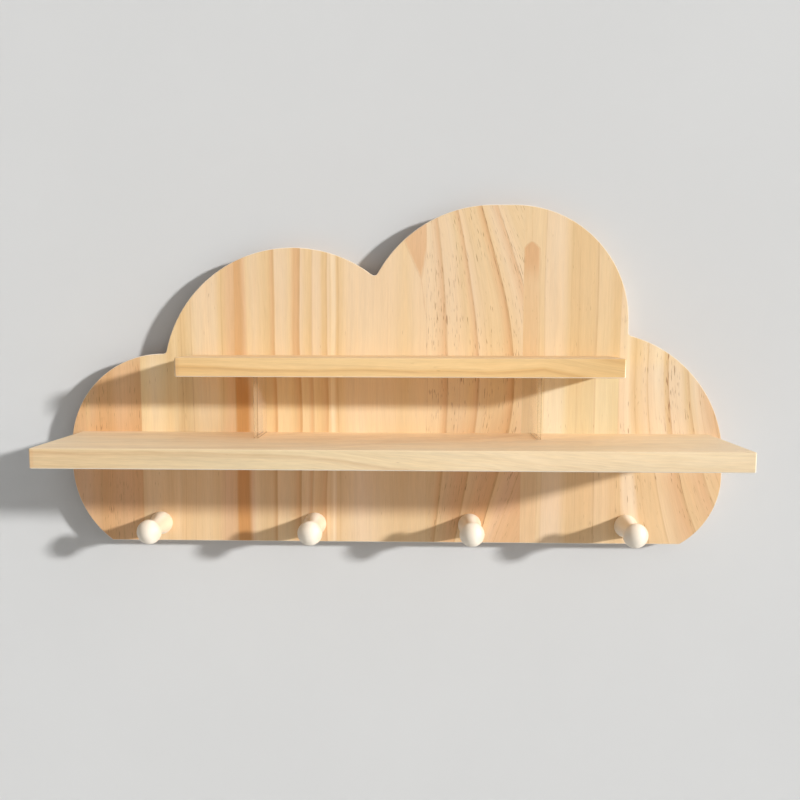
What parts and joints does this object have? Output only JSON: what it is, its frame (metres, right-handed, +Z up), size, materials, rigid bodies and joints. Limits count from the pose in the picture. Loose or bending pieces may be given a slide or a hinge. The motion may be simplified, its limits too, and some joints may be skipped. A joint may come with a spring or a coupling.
{
  "type": "cloud wall shelf",
  "caption": "Cloud-shaped pine wall shelf with a long lower ledge, a short upper ledge on clear supports and a row of turned pegs below, hung from keyhole plates.",
  "frame": {"origin": "on the wall plane, midway between the two hanging points, where the wall screws' shanks carry the keyhole slots", "axes": "+X to the right seen from the room, +Y into the wall, +Z up"},
  "size_m": [0.6505, 0.132, 0.335],
  "materials": {
    "cloud_pine": "sanded, clear matt lacquer",
    "shelf_pine": "sanded, clear matt lacquer",
    "clear_plastic": "clear, polished edges",
    "peg_birch": "turned and sanded",
    "dowel_beech": "raw, fluted stock",
    "zinc_steel": "bright zinc"
  },
  "bodies": {
    "root": {"stave_1": "cloud_pine", "stave_2": "cloud_pine", "stave_3": "cloud_pine", "stave_4": "cloud_pine", "stave_5": "cloud_pine", "stave_6": "cloud_pine", "stave_7": "cloud_pine", "lower_shelf": "shelf_pine", "upper_shelf": "shelf_pine", "left_support": "clear_plastic", "right_support": "clear_plastic", "peg_1": "peg_birch", "peg_2": "peg_birch", "peg_3": "peg_birch", "peg_4": "peg_birch", "lower_shelf_dowels": "dowel_beech", "upper_shelf_dowels": "dowel_beech", "lower_shelf_screws": "zinc_steel", "upper_shelf_screws": "zinc_steel", "left_hanger_plate": "zinc_steel", "right_hanger_plate": "zinc_steel", "hanger_screws": "zinc_steel"}
  },
  "joints": []
}
